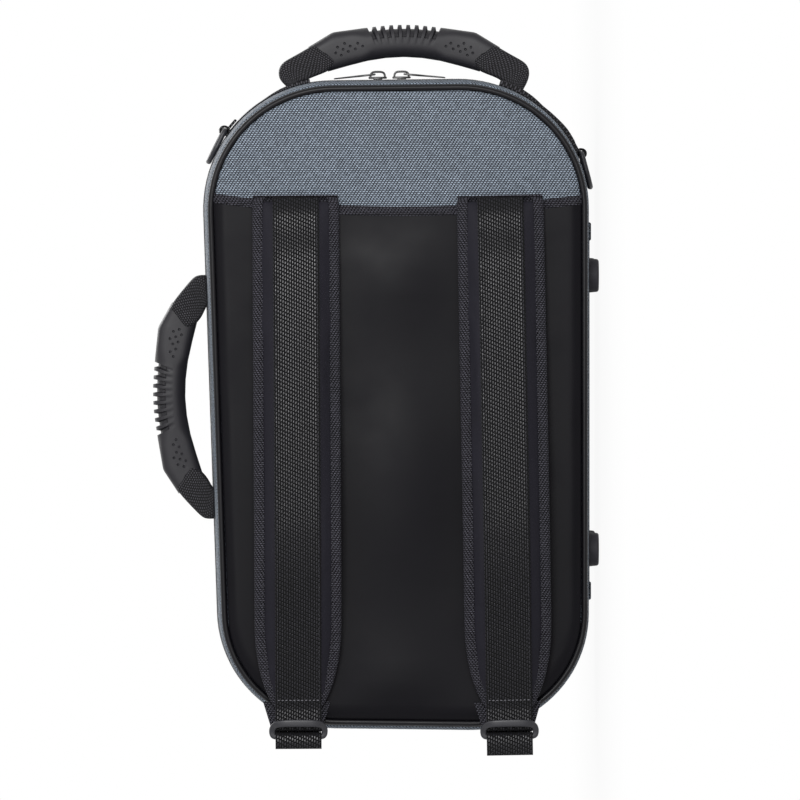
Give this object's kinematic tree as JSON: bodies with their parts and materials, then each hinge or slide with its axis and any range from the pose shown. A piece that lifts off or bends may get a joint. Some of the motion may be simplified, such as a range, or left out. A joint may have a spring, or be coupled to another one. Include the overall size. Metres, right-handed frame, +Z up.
{
  "type": "zipped instrument case",
  "caption": "Zip-round semi-rigid case for a cornet, with carrying handles, padded shoulder straps, a back sleeve, rubber feet and a fitted interior.",
  "frame": {"origin": "middle of the bounding box on the ground plane that the four rubber feet stand on", "axes": "+X along the case towards the end with the carrying handle, +Y through its depth from the shoulder straps to the lid, +Z up from the hinge side to the side handle"},
  "size_m": [0.4746, 0.1912, 0.289],
  "materials": {
    "grey_nylon": "coarse two-tone basket weave, matt",
    "stiff_foam": "closed-cell foam, matt",
    "soft_foam": "flocked foam, matt",
    "plush": "short plush",
    "piping_vinyl": "soft vinyl cord, satin",
    "neoprene": "smooth stretch knit over foam",
    "black_binding": "grosgrain tape, matt",
    "black_webbing": "ribbed webbing, low sheen",
    "hook_and_loop": "bristly",
    "strap_cover": "smooth knit over foam",
    "zip_nylon": "moulded coil",
    "zip_metal": "black enamel, satin",
    "grip_rubber": "satin moulded rubber",
    "foot_rubber": "matt rubber",
    "buckle_plastic": "fine-textured acetal",
    "screw_steel": "zinc plated"
  },
  "bodies": {
    "base_half": {"base_shell": "stiff_foam", "base_gusset": "grey_nylon", "back_panel": "grey_nylon", "back_piping": "piping_vinyl", "back_sleeve": "neoprene", "sleeve_binding": "black_binding", "base_lining": "plush", "instrument_insert": "soft_foam", "mouthpiece_holder": "soft_foam", "hold_strap_lower": "black_webbing", "hold_strap_upper": "black_webbing", "hold_strap_patch": "hook_and_loop", "base_zip_tape": "black_binding", "base_zip_coil": "zip_nylon", "hinge_tape": "grey_nylon", "hinge_patch": "black_binding", "zip_end_tabs": "grey_nylon", "top_band": "black_webbing", "ring_loops": "black_webbing", "top_handle_anchors": "black_webbing", "side_handle_anchors": "black_webbing", "base_feet": "foot_rubber", "base_foot_screws": "screw_steel", "base_foot_nuts": "screw_steel", "strap_folds": "black_binding", "tail_anchors": "black_binding", "strap_tails": "black_webbing"},
    "lid": {"lid_shell": "stiff_foam", "lid_gusset": "grey_nylon", "front_panel": "grey_nylon", "front_piping": "piping_vinyl", "lid_lining": "plush", "lid_pad": "soft_foam", "lid_zip_tape": "black_binding", "lid_zip_coil": "zip_nylon", "lid_hinge_strip": "grey_nylon", "lid_feet": "foot_rubber", "lid_foot_screws": "screw_steel", "lid_foot_nuts": "screw_steel"},
    "top_handle": {"top_handle_webbing": "black_webbing", "top_handle_grip": "grip_rubber"},
    "side_handle": {"side_handle_webbing": "black_webbing", "side_handle_grip": "grip_rubber"},
    "slider_upper": {"zip_slider_upper": "zip_metal"},
    "pull_upper": {"zip_pull_upper": "zip_metal"},
    "ring_upper": {"d_ring_upper": "buckle_plastic"},
    "strap_upper": {"strap_pad_upper": "strap_cover", "strap_binding_upper": "black_binding", "strap_webbing_upper": "black_webbing"},
    "lock_upper": {"ladder_lock_upper": "buckle_plastic", "strap_flap_upper": "black_webbing"},
    "slider_lower": {"zip_slider_lower": "zip_metal"},
    "pull_lower": {"zip_pull_lower": "zip_metal"},
    "ring_lower": {"d_ring_lower": "buckle_plastic"},
    "strap_lower": {"strap_pad_lower": "strap_cover", "strap_binding_lower": "black_binding", "strap_webbing_lower": "black_webbing"},
    "lock_lower": {"ladder_lock_lower": "buckle_plastic", "strap_flap_lower": "black_webbing"}
  },
  "joints": [
    {"name": "lid_hinge", "type": "hinge", "parent": "base_half", "child": "lid", "pos_m": [-0.00919, 0.02861, 0.0056], "axis": [-1, 0, 0], "range_deg": [0, 150]},
    {"name": "top_handle_swing", "type": "hinge", "parent": "base_half", "child": "top_handle", "pos_m": [0.20389, 0.00261, 0.1265], "axis": [0.0004, 0, 1], "range_deg": [-20, 20]},
    {"name": "side_handle_swing", "type": "hinge", "parent": "base_half", "child": "side_handle", "pos_m": [-0.00427, 0.00261, 0.25542], "axis": [0.9994, 0, 0.0344], "range_deg": [-20, 20]},
    {"name": "zip_slider_upper_slide", "type": "slide", "parent": "base_half", "child": "slider_upper", "axis": [-0.0118, 0, 0.9999], "range_m": [0, 0.023]},
    {"name": "zip_pull_upper_flip", "type": "hinge", "parent": "slider_upper", "child": "pull_upper", "pos_m": [0.20662, 0.02861, 0.14525], "axis": [0, 1, 0], "range_deg": [0, 110]},
    {"name": "zip_slider_lower_slide", "type": "slide", "parent": "base_half", "child": "slider_lower", "axis": [0.0118, 0, -0.9999], "range_m": [0, 0.031]},
    {"name": "zip_pull_lower_flip", "type": "hinge", "parent": "slider_lower", "child": "pull_lower", "pos_m": [0.20686, 0.02861, 0.12565], "axis": [0, -1, 0], "range_deg": [0, 110]},
    {"name": "d_ring_upper_swing", "type": "hinge", "parent": "base_half", "child": "ring_upper", "pos_m": [0.16978, 0.00261, 0.2439], "axis": [0, 1, 0], "range_deg": [0, 180]},
    {"name": "shoulder_strap_upper_swing", "type": "hinge", "parent": "base_half", "child": "strap_upper", "pos_m": [0.12331, -0.07257, 0.19939], "axis": [-0.0052, 0, 1], "range_deg": [0, 50]},
    {"name": "ladder_lock_upper_tilt", "type": "hinge", "parent": "strap_upper", "child": "lock_upper", "pos_m": [-0.21838, -0.07548, 0.1976], "axis": [-0.0052, 0, 1], "range_deg": [0, 15]},
    {"name": "d_ring_lower_swing", "type": "hinge", "parent": "base_half", "child": "ring_lower", "pos_m": [0.15491, 0.00261, 0.01055], "axis": [0, -1, 0], "range_deg": [0, 180]},
    {"name": "shoulder_strap_lower_swing", "type": "hinge", "parent": "base_half", "child": "strap_lower", "pos_m": [0.12331, -0.07257, 0.06599], "axis": [-0.0175, 0, 0.9998], "range_deg": [0, 50]},
    {"name": "ladder_lock_lower_tilt", "type": "hinge", "parent": "strap_lower", "child": "lock_lower", "pos_m": [-0.21833, -0.07548, 0.06003], "axis": [-0.0175, 0, 0.9998], "range_deg": [0, 15]}
  ]
}
